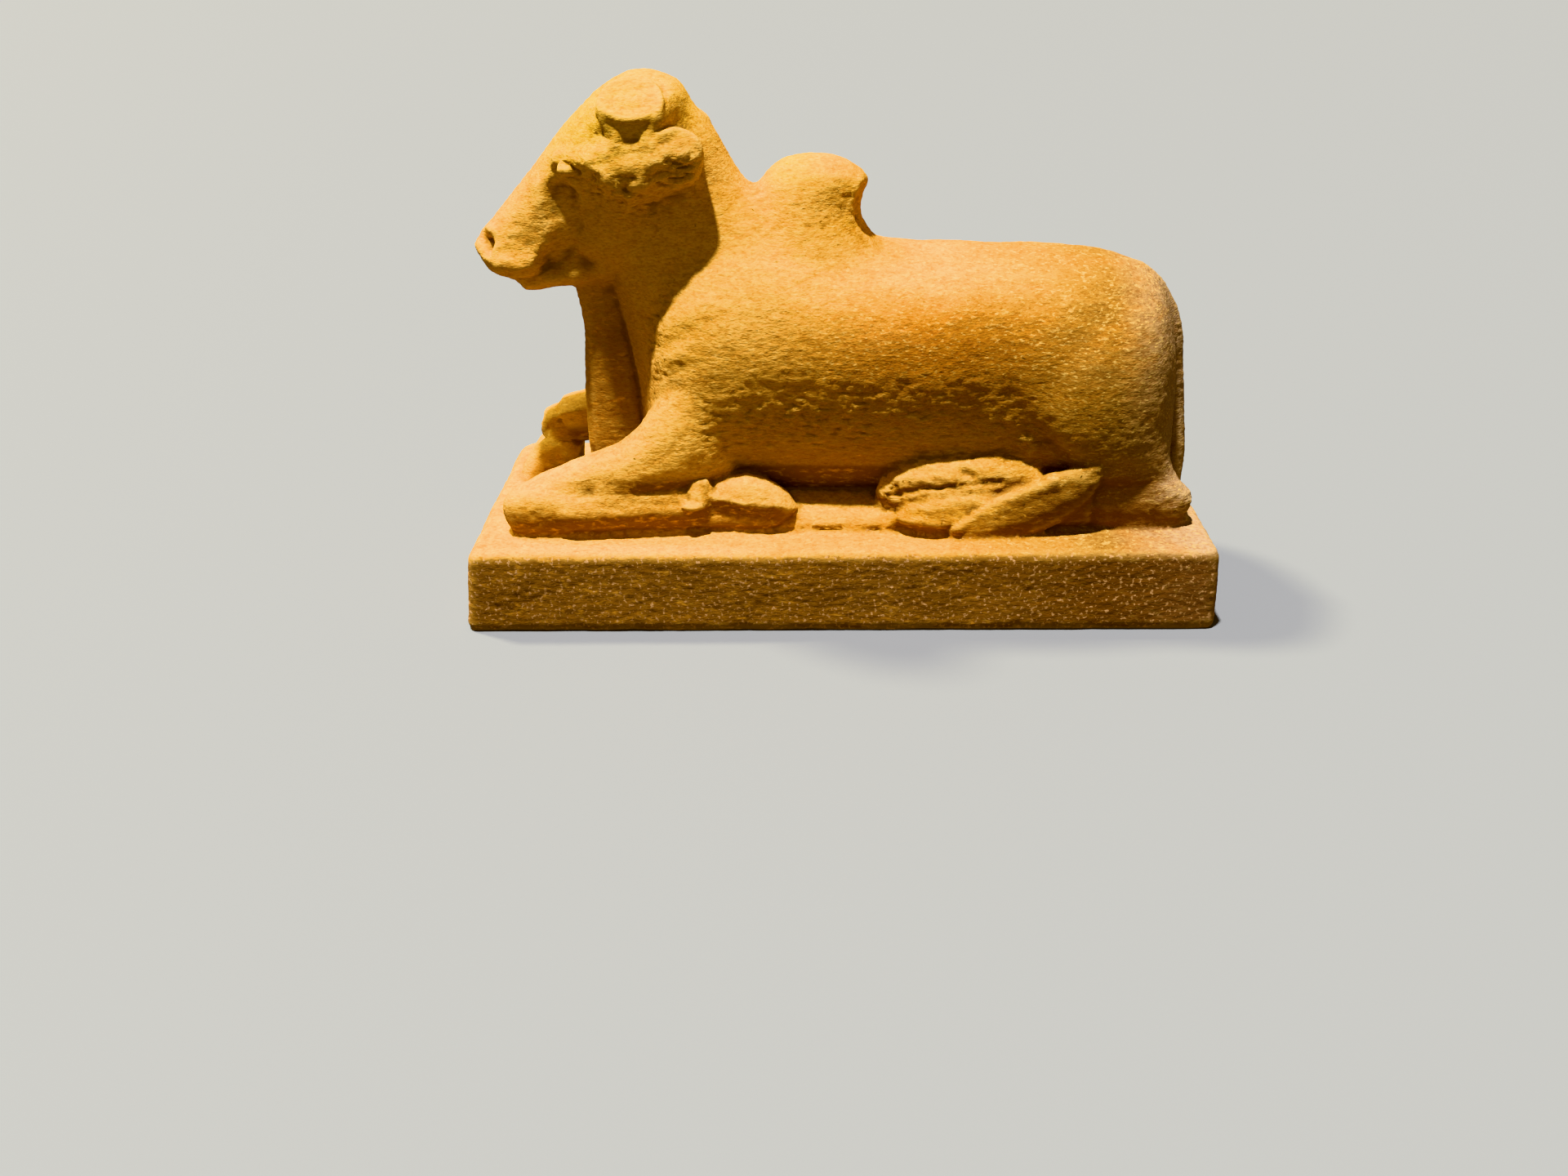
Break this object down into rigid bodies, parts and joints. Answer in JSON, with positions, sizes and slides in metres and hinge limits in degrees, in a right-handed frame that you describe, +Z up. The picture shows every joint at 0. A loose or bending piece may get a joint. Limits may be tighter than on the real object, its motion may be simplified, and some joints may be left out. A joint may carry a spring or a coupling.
{
  "type": "nandi bull sculpture",
  "caption": "Recumbent humped bull carved in sandstone, in one block with the plain rectangular slab it lies on.",
  "frame": {"origin": "centre of the slab's flat underside", "axes": "+Z up, +X along the slab from the bull's head to its tail, -Y towards the bull's left side, where the tail's tuft and both hind hooves show"},
  "size_m": [0.95, 0.44, 0.6719],
  "materials": {
    "sandstone": "weathered, finely tooled golden sandstone, matte, with rough worn patches"
  },
  "bodies": {
    "root": {"nandi_bull_on_slab": "sandstone"}
  },
  "joints": []
}
